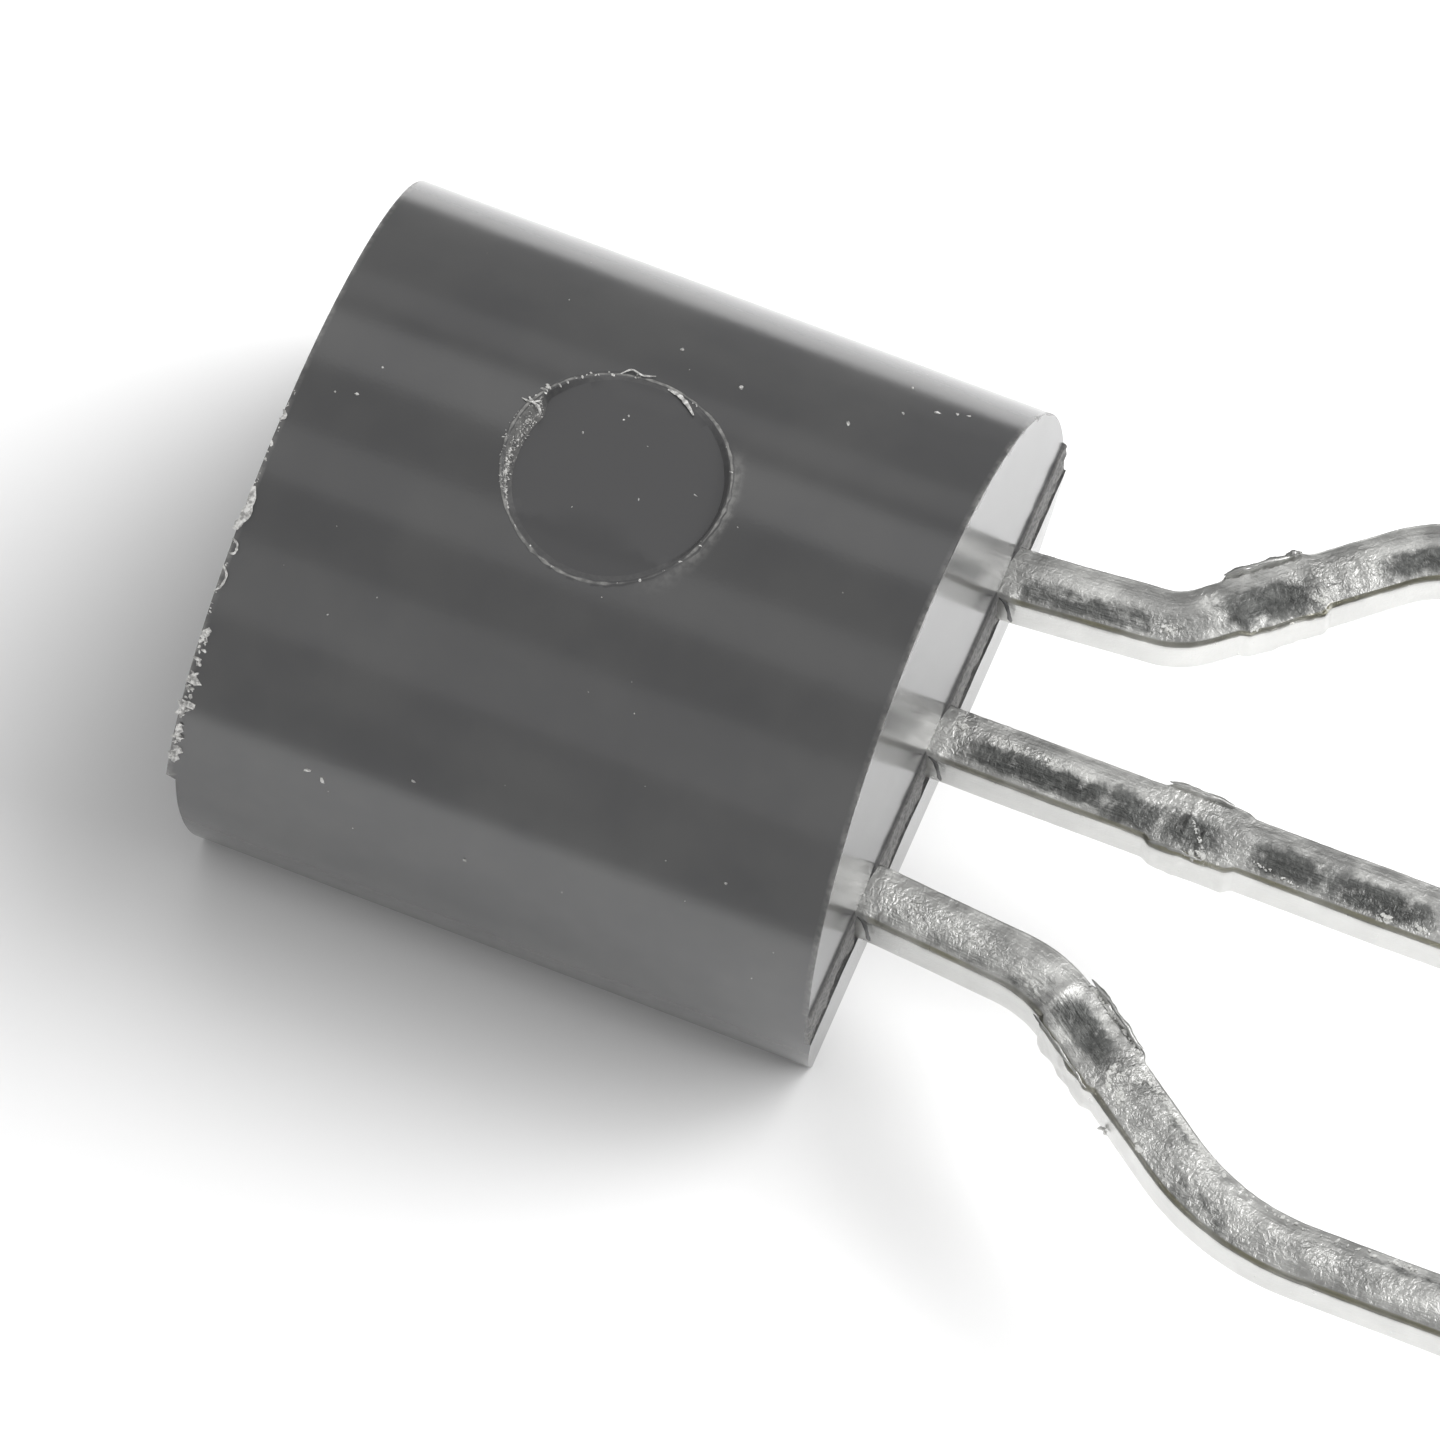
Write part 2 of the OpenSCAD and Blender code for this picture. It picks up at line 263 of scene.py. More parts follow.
# Thin epoxy flash and crumbs left by the mould: pale, dry and rough, because the film is thin and broken
flashFinish = grainedFinish("resinFlash", "#a2a19f", "#f4f3f0", 0.03, 0.01, Roughness=0.45, IOR=1.55)
tinFinish = tinPlate()
# Tin scraped up into crumbs, rough and broken, painted a matte near white as painted glints
crumbGlintFinish = grainedFinish("scrapedTinPaintedGlint", "#e4e4e1", "#fafaf6", 0.02, 0.004, Metallic=0.0, Roughness=0.3)
# Stamped copper alloy strip, silver flashed where the die and wires bond: pale and drawn fine
stampedFinish = grainedFinish("stampedFrame", "#b9b7b0", "#d2d0ca", 0.04, 0.002, Metallic=1.0, Roughness=0.3)
# Sawn and passivated silicon: a cold dark grey with a glassy surface
siliconFinish = grainedFinish("passivatedSilicon", "#3f4554", "#5d6475", 0.08, 0.001, Roughness=0.18,
                              IOR=1.5)
# Silver filled die attach epoxy, dispensed and cured: dull pale grey and grainy
attachFinish = grainedFinish("silverDieAttach", "#8f8f8a", "#b9b9b3", 0.02, 0.004, Metallic=0.6,
                             Roughness=0.6)
# Drawn gold wire, balled and stitched: warm and smooth
goldFinish = grainedFinish("drawnGold", "#c79a3a", "#e3bd62", 0.02, 0.0008, Metallic=1.0, Roughness=0.22)
print("materials made")


# Body
bodyShape = {
    "radius": 2.3,  # of the round side
    "length": 4.55,  # along the leads, at the parting line
    "height": 3.41,  # from the flat face to the top
    "parting": 1.33,  # height of the parting line, level with the top of the leads
    "rearDraft": 2.0,  # degrees, end faces of the round half
    "frontDraft": 4.0,  # degrees, end faces of the flat half
    "shiftAlong": 0.065,  # the round half stands this far back from the tips
    "shiftAcross": 0.01,
    "bandLow": 0.95,  # the band of broken dam flash runs from here up to the parting line
    "bandDepth": 0.045,
    "bandWave": 0.035,  # how far the band's edge wanders
    "bandRough": 0.012,  # depth of its broken grain
    "chamfer": 0.02,  # height of the sloped step at its top
    "columns": 640,  # of the grid, around the ejector mark
    "roundRings": 56, "endRings": 14, "bandRings": 14, "flatRings": 18,  # of the grid, on each surface
    "edge": 0.003,  # share of the round side that the sharp edge takes
}
ejectorMark = {
    "radius": 0.75, "depth": 0.075, "across": 0.06, "along": -0.1,
    "floorRings": (0.0, 0.4, 0.75, 0.92, 1.0),  # shares of the floor's radius
    "wallRings": (0.05, 0.25, 0.45, 0.65, 0.8, 0.95),  # shares of the wall's height
    "lipRings": 9,
    "shallow": 0.0015,  # least depth, where the round side falls away under the mark
    "slope": 0.045,  # how far the wall leans in toward the mark's floor
    "ramp": 0.11,  # the same where the wall tore
    "tornRise": (238, 252), "tornFall": (266, 322),  # where that is, in degrees from +X toward +Y
    "lip": 0.008,  # height of the raised ring of flash
    "lipWidth": 0.026,
    # The next value is a painted sheen past the rim in the film's pale colour, on the lead end's side
    "paintedSheen": 0.75,  # strength of the film dragged out past the rim at the lead end
    "paintedSheenArc": (50, 105, 25),  # from, to and fade, in degrees
}
roundMiddle = bodyShape["height"] - bodyShape["radius"]
edgeAngle = np.arccos((bodyShape["parting"] - roundMiddle) / bodyShape["radius"])


def roundHeight(across):
    # Height of the round side over a place across it: the circle's formula
    return roundMiddle + np.sqrt(bodyShape["radius"] ** 2 - (across + bodyShape["shiftAcross"]) ** 2)


def overRound(across, along):
    # The point of the round side over a place
    return xyz(across, along, roundHeight(across))


def acrossAt(degrees):
    # The place across of the round side at an angle from the top toward +X: its sine times the radius
    return bodyShape["radius"] * np.sin(np.radians(degrees)) - bodyShape["shiftAcross"]


def roundReach(height):
    # Half length of the round half at a height: it draws in away from the parting line by the draft
    s = bodyShape
    return s["length"] / 2 - (height - s["parting"]) * np.tan(np.radians(s["rearDraft"]))


def onRound(a, b, lift=0.0):
    # A point of the round side, or lifted off it along its normal: the circle's sine and cosine at a, which
    # runs from -1 to 1 around it, and the drafted half length times b, from -1 to 1 along it
    s, turn = bodyShape, a * edgeAngle
    along = b * roundReach(roundMiddle + s["radius"] * np.cos(turn)) - s["shiftAlong"]
    radius = s["radius"] + lift
    return xyz(radius * np.sin(turn) - s["shiftAcross"], along, roundMiddle + radius * np.cos(turn))


def roundPlace(across, along):
    # The a and b of the point of the round side that is over this place
    a = np.arcsin((across + bodyShape["shiftAcross"]) / bodyShape["radius"]) / edgeAngle
    b = (along + bodyShape["shiftAlong"]) / roundReach(roundHeight(across))
    return a, b


def frontHalfWidth(height):
    # Half width of the flat half at a height: the same circle's formula
    return np.sqrt(bodyShape["radius"] ** 2 - (height - roundMiddle) ** 2)


def frontReach(height):
    # Half length of the flat half at a height: it draws in below the parting line by the draft
    s = bodyShape
    return s["length"] / 2 - (s["parting"] - height) * np.tan(np.radians(s["frontDraft"]))


def tornShare(turn):
    # How torn the mark's wall is at an angle: a short smoothstep ramp up times a long one down
    degrees = np.degrees(turn) % 360
    (riseFrom, riseTo), (fallFrom, fallTo) = ejectorMark["tornRise"], ejectorMark["tornFall"]
    rise = smooth((degrees - riseFrom) / (riseTo - riseFrom))
    return rise * smooth((fallTo - degrees) / (fallTo - fallFrom))


def makeBody():
    # One closed grid of rings: out from the middle of the ejector mark over the round side to its edges,
    # down the end faces and the flat half, and in to the middle of the flat face
    s, m = bodyShape, ejectorMark
    turn = np.radians(np.linspace(-45, 315, s["columns"] + 1))
    cosine, sine = np.cos(turn), np.sin(turn)
    reach = np.maximum(abs(cosine), abs(sine))
    squareA, squareB = np.round(cosine / reach, 12), np.round(sine / reach, 12)
    rings, fields = [], {"torn": [], "filmAndSheen": [], "ground": []}

    def ring(points, torn=0.0, filmAndSheen=0.0, ground=0.0):
        # Keeps one ring of points with its shares of tearing, film and the matt ground surface
        rings.append(points)
        for field, share in zip(fields.values(), (torn, filmAndSheen, ground)):
            field.append(np.broadcast_to(share, turn.shape))

    def markRing(radius):
        # A circle about the middle of the mark
        return m["across"] + radius * cosine, m["along"] + radius * sine

    ragged, uneven, flaky = (wobble(cosine, sine, 0, cell, seed)
                             for cell, seed in ((0.07, 3), (0.4, 4), (0.05, 2)))
    tornArc = tornShare(turn)
    lean = m["slope"] + (m["ramp"] - m["slope"]) * tornArc * (1 + 0.25 * uneven)
    for share in m["floorRings"]:
        x, y = markRing((m["radius"] - lean) * share)
        ring(xyz(x, y, np.minimum(s["height"] - m["depth"], roundHeight(x) - m["shallow"])), ground=1.0)
    low = rings[-1]
    high = overRound(*markRing(m["radius"] - m["slope"] * 0.3))
    wallFilm = tornArc * (0.35 + 0.45 * flaky)
    # All round, the wall takes a little of the torn grey as painted light against its shade, and more where
    # it tore
    for share in m["wallRings"]:
        ring(low + (high - low) * share, 0.15 + 0.6 * tornArc, wallFilm * (0.4 + 0.6 * share), 1.0)
    lift = m["lip"] * (0.65 + 0.35 * ragged) * (0.75 + 0.25 * uneven)
    for out in np.linspace(0, 1, m["lipRings"]):
        a, b = roundPlace(*markRing(m["radius"] + m["lipWidth"] * (out - 0.4) * (1 + 0.4 * ragged)))
        crest = np.sin(np.pi * out)
        ring(onRound(a, b, lift * crest), 0.0,
             smooth(2.3 * crest * (0.6 + 0.2 * ragged + 0.35 * uneven) - 0.45))
    atEnd = np.abs(squareB) == 1
    edgeFilm = atEnd * (0.35 + 0.3 * wobble(10 * squareA, squareB, 0, 0.3, 7))
    # Painted sheen: the film's pale colour laid just past the rim on the lead end's side
    paintedSheen = m["paintedSheen"] * between(np.degrees(turn) % 360, *m["paintedSheenArc"]) * (0.7 + 0.5 * uneven)
    for t in np.linspace(0, 1, s["roundRings"])[1:] ** 1.3:
        ring(onRound(a + (squareA - a) * t, b + (squareB * (1 - s["edge"]) - b) * t), 0.0,
             edgeFilm * (t == 1) + paintedSheen * smooth(1 - t / 0.05))
    arc = onRound(squareA, squareB)
    side = np.sin(squareA * edgeAngle) / np.sin(edgeAngle)
    top = np.maximum(arc[:, 2] - atEnd * s["edge"] * s["radius"], s["parting"])
    for t in np.linspace(0, 1, s["endRings"]):
        height = top + (s["parting"] - top) * t
        y = squareB * roundReach(height) - s["shiftAlong"]
        ring(xyz(arc[:, 0], y, height), 0.0, edgeFilm * (t == 0))

    leadEnd = squareB == 1
    bandFace = s["length"] / 2 - s["bandDepth"]

    def front(height, inBand, torn=0.0):
        # A ring of the flat half at a height: the sine of the place around sets how far across, and the ends
        # stand at the drafted reach, or at the broken band's face with its crumble
        blend = s["shiftAcross"] * smooth((height - s["bandLow"]) / (s["parting"] - s["bandLow"]))
        x = side * frontHalfWidth(height) - blend
        farEnd = frontReach(height)
        nearEnd = np.where(inBand, bandFace, farEnd)
        y = -farEnd + (nearEnd + farEnd) * (squareB + 1) / 2
        crumble = wobble(x, height * 1.7, 0, 0.11, 5) + 0.5 * wobble(x, height, 0, 0.04, 6)
        crumble = s["bandRough"] * crumble * smooth((s["parting"] - height) / 0.06)
        ring(xyz(x, y + np.where(leadEnd & inBand, crumble, 0), height), torn)

    wave = wobble(side * s["radius"], 0, 0, 0.3, 8) + 0.4 * wobble(side * s["radius"], 0, 0, 0.08, 9)
    bandLow = s["bandLow"] + np.where(leadEnd, s["bandWave"] * wave, 0)
    bandTop = s["parting"] - s["chamfer"]
    for t in np.linspace(0, 1, s["bandRings"]):
        front(bandTop + (bandLow - bandTop) * t, True, np.where(leadEnd, 1.0, 0.0))
    for t in np.linspace(0, 1, s["flatRings"]):
        front(bandLow * (1 - t), False)
    flat = rings[-1]
    for share in (0.99, 0.9, 0.6, 0.3, 0.0):
        ring(flat * [share, share, 1])
    addPiece("packageBody", np.array(rings), epoxyFinish, ("body",), sharp=22,
             fields={name: np.array(field) for name, field in fields.items()})


makeBody()


# Flash, crumbs and dust on the body
crumbShape = {"rows": 5, "columns": 7, "jagged": 0.45, "least": (0.6, 1.0, 0.5), "most": (1.3, 2.2, 0.9)}
crumbs = {
    # Around the ejector mark's rim: the arc in degrees from +X toward +Y, and how far out they spread
    "tornWall": {"arc": (243, 312), "spread": (-0.12, 0.035), "tapered": True,
                 "count": 640, "size": (0.002, 0.0065), "seed": 41},
    "rimGrains": {"arc": (0, 360), "spread": (-0.012, 0.012),
                  "count": 46, "size": (0.004, 0.009), "seed": 42},
    "smallBurr": {"arc": (190, 240), "spread": (-0.02, 0.03),
                  "count": 26, "size": (0.005, 0.012), "seed": 43},
    # Along the arc edge of the closed end: the arc in degrees from the top toward +X
    "jaggedRow": {"arc": (50, 79), "inset": 0.012, "spread": 0.045,
                  "count": 90, "size": (0.006, 0.027), "seed": 51},
    "looseRow": {"arc": (8, 48), "inset": 0.0, "spread": 0.02,
                 "count": 40, "size": (0.004, 0.01), "seed": 52},
}
dust = {
    # Single specks on the round side: degrees from the top toward +X, and place along the body
    "specks": [(-1, -1.79), (5, -1.87), (6, -2.01), (-27, -0.08), (-23, 0.39), (-32, 1.41), (-36, 1.6),
               (-24, 1.13), (-42, 1.36), (-39, 1.79), (-38, 1.72), (71, -1.28), (64, -0.68), (70, -1.39),
               (77, -0.24), (61, 1.49), (89, 0.95)],
    "onMark": [(-0.4, -0.11), (-0.21, -0.32), (-0.07, 0.53), (0.32, -0.18), (-0.44, -0.09), (0.1, 0.2)],
    "size": (0.006, 0.012), "markSize": (0.004, 0.008), "seed": 61,
    "fine": 26, "fineArc": (-55, 80), "fineAlong": (-2.0, 2.0), "fineSize": (0.002, 0.004),  # at random
}


def makeGrains(name, places, normals, sizes, seed, material=flashFinish):
    # Each crumb is a small ball whose points are pushed in and out at random, stretched, and turned at
    # random about its normal
    rng = np.random.default_rng(seed)
    rows, columns, count = crumbShape["rows"], crumbShape["columns"], len(places)
    polar, turn = np.linspace(0, np.pi, rows)[:, None], np.linspace(0, 2 * np.pi, columns)
    ball = xyz(np.sin(polar) * np.cos(turn), np.sin(polar) * np.sin(turn), np.cos(polar))
    radius = 1 + crumbShape["jagged"] * rng.uniform(-1, 1, (count, rows, columns))
    radius[..., -1] = radius[..., 0]
    radius[:, [0, -1]] = radius[:, [0, -1], :1]
    stretch = np.array(sizes)[:, None] * rng.uniform(crumbShape["least"], crumbShape["most"], (count, 3))
    shape = ball * radius[..., None] * stretch[:, None, None]
    normals = unit(normals)
    first = unit(np.cross(normals, rng.normal(size=(count, 3))))
    points = places[:, None, None]
    for k, axis in enumerate((first, np.cross(normals, first), normals)):
        points = points + axis[:, None, None] * shape[..., k:k + 1]
    addPiece(name, points, material, sharp=25)


def roundNormal(across):
    # Straight out of the round side over a place across it
    sine = (across + bodyShape["shiftAcross"]) / bodyShape["radius"]
    return xyz(sine, 0, np.sqrt(1 - sine ** 2))


def makeCrumbs():
    # Crumbs around the ejector mark's rim, at a random angle's sine and cosine times a radius, and along the
    # closed end's arc edge, and dust, all set on the round side's height
    m = ejectorMark
    for name, row in crumbs.items():
        rng = np.random.default_rng(row["seed"])
        angle = rng.uniform(*row["arc"], row["count"])
        if "inset" in row:
            x, depth = acrossAt(angle), 0 * angle
            y = -roundReach(roundHeight(x)) - bodyShape["shiftAlong"] + row["inset"]
            y = y + rng.uniform(0, 1, row["count"]) * row["spread"]
        else:
            turn = np.radians(angle)
            out = rng.uniform(*row["spread"], (row["count"], 2)).mean(axis=1)
            radius = m["radius"] + out * (tornShare(turn) if row.get("tapered") else 1)
            x, y = m["across"] + radius * np.cos(turn), m["along"] + radius * np.sin(turn)
            depth = roundHeight(x) - bodyShape["height"] + m["depth"]
            depth = np.clip((m["radius"] - radius) / m["ramp"], 0, 1) * depth
        low, high = row["size"]
        sizes = low + (high - low) * rng.uniform(0, 1, row["count"]) ** 2
        places = overRound(x, y) - 0.9 * depth[:, None] * up
        makeGrains(name, places, roundNormal(x), sizes, row["seed"] + 1)
    rng = np.random.default_rng(dust["seed"])
    fine = np.column_stack([rng.uniform(*dust[span], dust["fine"]) for span in ("fineArc", "fineAlong")])
    spots = np.concatenate([dust["specks"], fine])
    x, y = np.array(dust["onMark"]).T
    onMark = xyz(x + m["across"], y + m["along"], bodyShape["height"] - m["depth"])
    places = np.concatenate([overRound(acrossAt(spots[:, 0]), spots[:, 1]), onMark])
    sizes = [rng.uniform(*dust[size], count) for size, count in
             (("size", len(dust["specks"])), ("fineSize", len(fine)), ("markSize", len(onMark)))]
    makeGrains("dustSpecks", places, roundNormal(places[:, 0]), np.concatenate(sizes), dust["seed"] + 1)


slivers = {
    # Curled slivers of flash: half width, half thickness, and points [across, along, lift]
    "rimFork": (0.01, 0.003, (-0.29, -0.73, 0.0), (-0.26, -0.7, 0.012), (-0.23, -0.64, 0.014),
                (-0.19, -0.61, 0.004)),
    "rimForkArm": (0.007, 0.003, (-0.26, -0.77, 0.002), (-0.25, -0.7, 0.014), (-0.29, -0.65, 0.004)),
    "rimCurl": (0.008, 0.003, (-0.71, -0.26, 0.002), (-0.77, -0.2, 0.014), (-0.75, -0.12, 0.02),
                (-0.79, -0.04, 0.012)),
    "rimPeel": (0.016, 0.003, (-0.73, 0.07, 0.003), (-0.71, 0.15, 0.01), (-0.66, 0.23, 0.01),
                (-0.6, 0.3, 0.002)),
    "edgeFlake": (0.03, 0.004, (0.97, -2.27, 0.004), (1.06, -2.25, 0.012), (1.16, -2.26, 0.01),
                  (1.24, -2.3, 0.004)),
    "edgeLoop": (0.008, 0.004, (1.29, -2.285, 0.004), (1.31, -2.24, 0.016), (1.36, -2.24, 0.012),
                 (1.37, -2.285, 0.004)),
    "edgeHook": (0.009, 0.004, (1.44, -2.29, 0.004), (1.48, -2.245, 0.014), (1.54, -2.255, 0.012),
                 (1.58, -2.295, 0.004)),
    "edgeTab": (0.012, 0.004, (0.46, -2.275, 0.0), (0.5, -2.245, 0.008), (0.53, -2.275, 0.0)),
}


def curve(points, count):
    # A smooth path through points: Catmull-Rom, with the end points doubled
    p = np.concatenate([points[:1], points, points[-1:]])
    at = np.linspace(0, len(points) - 1, count)
    k = np.minimum(at.astype(int), len(points) - 2)
    t = (at - k)[:, None]
    a, b, c, d = p[k], p[k + 1], p[k + 2], p[k + 3]
    bend, twist = 2 * a - 5 * b + 4 * c - d, 3 * b - a - 3 * c + d
    return 0.5 * (2 * b + (c - a) * t + bend * t ** 2 + twist * t ** 3)


def ribbon(name, path, normals, width, thick, material, ragged=0.3, seed=1):
    # A flat oval section carried along a path, tapering to nothing at both ends, with a ragged width
    along = unit(np.gradient(path, axis=0))
    side = unit(np.cross(along, normals))
    rise = np.cross(side, along)
    turn = np.linspace(0, 2 * np.pi, 9)
    share = np.linspace(0, 1, len(path))
    taper = np.sqrt(np.clip(np.sin(np.pi * (0.04 + 0.92 * share)), 0, 1))
    broad = width * taper * (1 + ragged * wobble(share * 12, 0, 0, 1.0, seed))
    points = (path[:, None] + side[:, None] * (broad[:, None] * np.cos(turn))[..., None]
              + rise[:, None] * ((thick * taper)[:, None] * np.sin(turn))[..., None])
    addPiece(name, closeEnds(points), material, sharp=40)


def makeSlivers():
    # Each sliver runs along a smooth curve whose height is counted from the round side along its normal
    for number, (name, (width, thick, *points)) in enumerate(slivers.items()):
        path = curve(np.array(points), 28)
        if name.startswith("rim"):
            path += [ejectorMark["across"], ejectorMark["along"], 0]
        normals = roundNormal(path[:, 0])
        path = overRound(path[:, 0], path[:, 1]) + normals * path[:, 2:]
        ribbon(name, path, normals, width, thick, flashFinish, seed=70 + number)


makeCrumbs()
makeSlivers()


# Leads
leadShape = {
    "width": 0.42, "thick": 0.38, "bevel": 0.06, "height": 1.14, "pitch": 1.27,
    "formedPitch": 2.6, "reach": 14.0, "inside": 0.35,  # reach beyond the body, and the start inside it
    "splay": 5.0, "splayRadius": 1.0, "neck": 0.9,
    "barAt": 1.8, "barLength": 0.5, "barStub": 0.035, "barTaper": 0.08,
    "roll": 0.14, "rollDown": 0.024,  # the rolled edge on the punch side: its width on the top, and depth
    "sharpBevel": 0.024,  # the other upper edge
    # How far each corner is cut back, from the under side on, and how many points lead to the next one
    "soft": (0.012, 0.012, 0.01, 0.01, 0.05, 0.008, 0.012, 0.012),
    "sidePoints": (2, 6, 3, 20, 10, 6, 2, 2),
    "crown": 0.22, "crownAt": -0.04,  # the top face drops by this times the square of the place across it
    "ripple": 0.006, "fineRipple": 0.0012, "stubGrain": 0.004,  # depths of the waves left by tools
    # The sides take a plain paler tin colour by this share, a painted reflection
    "flankShare": 0.85,  # how plain the sides are
    "fineStep": 0.012, "coarseStep": 0.05, "fineReach": 6.0,  # between rings, near the body and beyond
}
# The marks on each lead's top face are [distance from the body, place across the lead, half length, half
# width, strength], and a dent's strength is its height. The dark marks are painted dark reflections, the
# thinnest a painted shade line like a slit, and the glint marks are painted glints
leads = {
    "reference": {
        "side": -1, "slope": 41.0, "bend": 0.5, "back": 0.9, "seed": 21,
        "dark": [(0.55, 0.08, 0.6, 0.09, 0.72), (1.72, 0.04, 0.36, 0.14, 0.95),
                 (2.85, 0.06, 0.38, 0.1, 0.88), (3.9, 0.04, 0.6, 0.09, 0.7)],
        "crumple": [(1.06, 0.09, 0.12, 0.07, 0.6), (2.2, 0.02, 0.3, 0.16, 0.9), (5.0, 0.0, 0.8, 0.1, 0.6)],
        "glint": [(1.07, 0.09, 0.07, 0.05, 0.7), (1.37, -0.1, 0.08, 0.07, 0.6),
                  (2.08, 0.13, 0.05, 0.08, 1.0), (2.48, 0.0, 0.06, 0.05, 0.6)],
        "dents": [(1.37, -0.1, 0.14, 0.1, 0.012), (1.8, 0.03, 0.25, 0.14, -0.012),
                  (2.1, 0.05, 0.07, 0.2, 0.014), (2.3, 0.0, 0.05, 0.15, 0.008),
                  (2.45, 0.0, 0.05, 0.12, 0.008), (1.56, 0.1, 0.1, 0.1, 0.006)],
    },
    "anode": {
        "side": 0, "seed": 22,
        "dark": [(0.7, 0.05, 0.58, 0.1, 0.95), (1.34, 0.06, 0.26, 0.14, 0.85),
                 (1.75, 0.06, 0.24, 0.14, 0.78), (2.45, 0.03, 0.3, 0.13, 0.92),
                 (3.08, 0.05, 0.42, 0.12, 0.9), (4.2, 0.03, 0.7, 0.1, 0.8)],
        "crumple": [(0.08, -0.05, 0.1, 0.15, 0.6), (0.5, -0.07, 0.3, 0.04, 0.9),
                    (1.75, 0.0, 0.35, 0.22, 0.5), (3.2, 0.1, 0.3, 0.08, 0.7)],
        "glint": [(0.08, -0.085, 0.05, 0.04, 1.0), (0.4, -0.075, 0.1, 0.03, 0.9),
                  (0.72, -0.055, 0.05, 0.035, 1.0), (1.87, 0.19, 0.1, 0.03, 1.0),
                  (3.16, 0.14, 0.05, 0.05, 1.0), (3.4, 0.13, 0.05, 0.04, 0.9)],
        "dents": [(1.72, -0.05, 0.02, 0.14, 0.008), (1.85, 0.08, 0.02, 0.1, 0.008),
                  (1.55, 0.0, 0.16, 0.12, -0.008), (2.1, -0.05, 0.12, 0.1, 0.006)],
    },
    "cathode": {
        "side": 1, "slope": 36.0, "bend": 1.0, "back": 1.8, "seed": 23,
        "dark": [(1.74, 0.0, 0.3, 0.13, 0.95), (0.56, -0.1, 0.4, 0.01, 1.0), (1.0, 0.13, 0.6, 0.05, 0.4),
                 (2.5, -0.12, 0.4, 0.05, 0.55), (3.1, 0.1, 0.35, 0.1, 0.45), (4.6, -0.12, 0.5, 0.04, 0.5)],
        "crumple": [(0.5, 0.0, 0.55, 0.1, 0.5), (2.2, 0.0, 0.22, 0.2, 0.9), (2.7, 0.04, 0.4, 0.16, 0.7),
                    (3.3, 0.06, 0.4, 0.14, 0.6), (4.2, 0.0, 0.5, 0.1, 0.6)],
        "glint": [(2.1, 0.05, 0.05, 0.12, 1.0), (2.25, 0.07, 0.05, 0.05, 1.0),
                  (2.62, 0.17, 0.06, 0.014, 1.0), (0.55, 0.02, 0.45, 0.07, 0.4),
                  (1.25, 0.08, 0.1, 0.06, 0.6)],
        "dents": [(1.42, 0.05, 0.05, 0.16, 0.014), (1.75, 0.0, 0.22, 0.12, -0.012),
                  (2.12, 0.0, 0.06, 0.18, 0.01), (2.6, 0.0, 0.1, 0.1, -0.008),
                  (3.6, -0.05, 0.12, 0.1, 0.012), (3.95, 0.03, 0.12, 0.1, 0.01)],
    },
}


def marksAt(marks, along, across, power):
    # The height of each mark at each point: it falls off with this power of the distance over its half size
    return np.array([height * np.exp(-((along - s) / length) ** power - ((across - v) / width) ** power)
                     for s, v, length, width, height in marks])


def leadSteps(lead):
    # Straight length, then the radius and the angle of the bend after it, for each stretch of a lead
    s = leadShape
    if lead["side"] == 0:
        return [(s["inside"] + s["reach"], 1.0, 0.0)]
    splay, slope = np.radians(s["splay"]), np.radians(lead["slope"])
    out = s["splayRadius"] * (1 - np.cos(splay)) + s["neck"] * np.sin(splay)
    out += lead["bend"] * (np.cos(splay) - np.cos(slope))
    along = s["inside"] + s["splayRadius"] * np.sin(splay) + s["neck"] * np.cos(splay)
    along += lead["bend"] * (np.sin(slope) - np.sin(splay))
    slopeOut = s["formedPitch"] - s["pitch"] - out - lead["back"] * (1 - np.cos(slope))
    along += slopeOut / np.tan(slope) + lead["back"] * np.sin(slope)
    return [(s["inside"], s["splayRadius"], splay), (s["neck"], lead["bend"], slope - splay),
            (slopeOut / np.sin(slope), lead["back"], -slope), (s["inside"] + s["reach"] - along, 1.0, 0.0)]


def leadLine(lead):
    # The lead's middle line: its heading is level on straights and changes evenly in bends, and its place is
    # the running sum of the heading's sine and cosine
    s = leadShape
    distance, heading = [0.0], [0.0]
    for straight, radius, angle in leadSteps(lead):
        distance += [distance[-1] + straight, distance[-1] + straight + radius * abs(angle)]
        heading += [heading[-1], heading[-1] + angle]
    fineEnd = s["inside"] + s["fineReach"]
    at = np.concatenate([np.arange(0, fineEnd, s["fineStep"]),
                         np.arange(fineEnd, distance[-1], s["coarseStep"]), distance[-1:]])
    turn = np.interp(at, distance, heading)
    middle = (turn[1:] + turn[:-1]) / 2
    x, y = (np.concatenate([[0], np.cumsum(part(middle) * np.diff(at))]) for part in (np.sin, np.cos))
    if lead["side"] < 0:
        x, turn = -x, -turn
    line = xyz(lead["side"] * s["pitch"] + x, bodyShape["length"] / 2 - s["inside"] + y, s["height"])
    return at - s["inside"], line, turn


